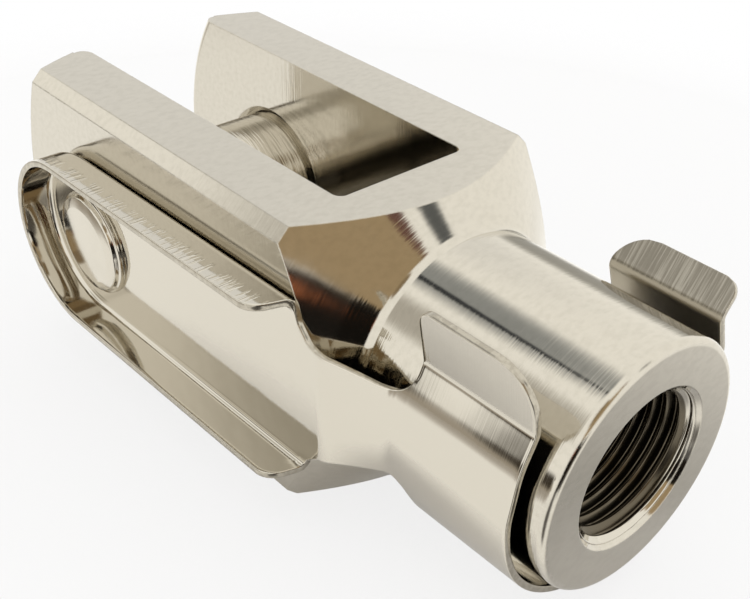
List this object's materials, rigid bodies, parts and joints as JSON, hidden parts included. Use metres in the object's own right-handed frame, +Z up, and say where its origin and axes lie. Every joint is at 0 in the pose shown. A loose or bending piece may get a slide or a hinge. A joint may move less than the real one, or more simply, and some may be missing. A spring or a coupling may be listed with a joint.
{
  "type": "fork head with spring clip pin",
  "caption": "Square fork head with a round neck tapped for a piston rod, a cross pin through its slotted prongs and a folded spring clip that swings off the neck to free the pin.",
  "frame": {"origin": "on the pin's axis, midway between the two prongs", "axes": "+X along the neck towards the thread's mouth, +Y along the pin away from the clip's plate, +Z up, towards the open side of the clip's wrap"},
  "size_m": [0.0822, 0.0383, 0.032],
  "materials": {
    "fork_nickel": "bright nickel plate, lightly tumbled",
    "pin_nickel": "bright nickel plate over fine turning lines",
    "clip_nickel": "bright nickel plate on spring sheet"
  },
  "bodies": {
    "fork": {"fork_head": "fork_nickel"},
    "clip": {"clevis_pin": "pin_nickel", "spring_clip": "clip_nickel"}
  },
  "joints": [
    {"name": "clip_swing", "type": "hinge", "parent": "fork", "child": "clip", "pos_m": [0, 0, 0], "axis": [0, 1, 0], "range_deg": [0, 325]}
  ]
}
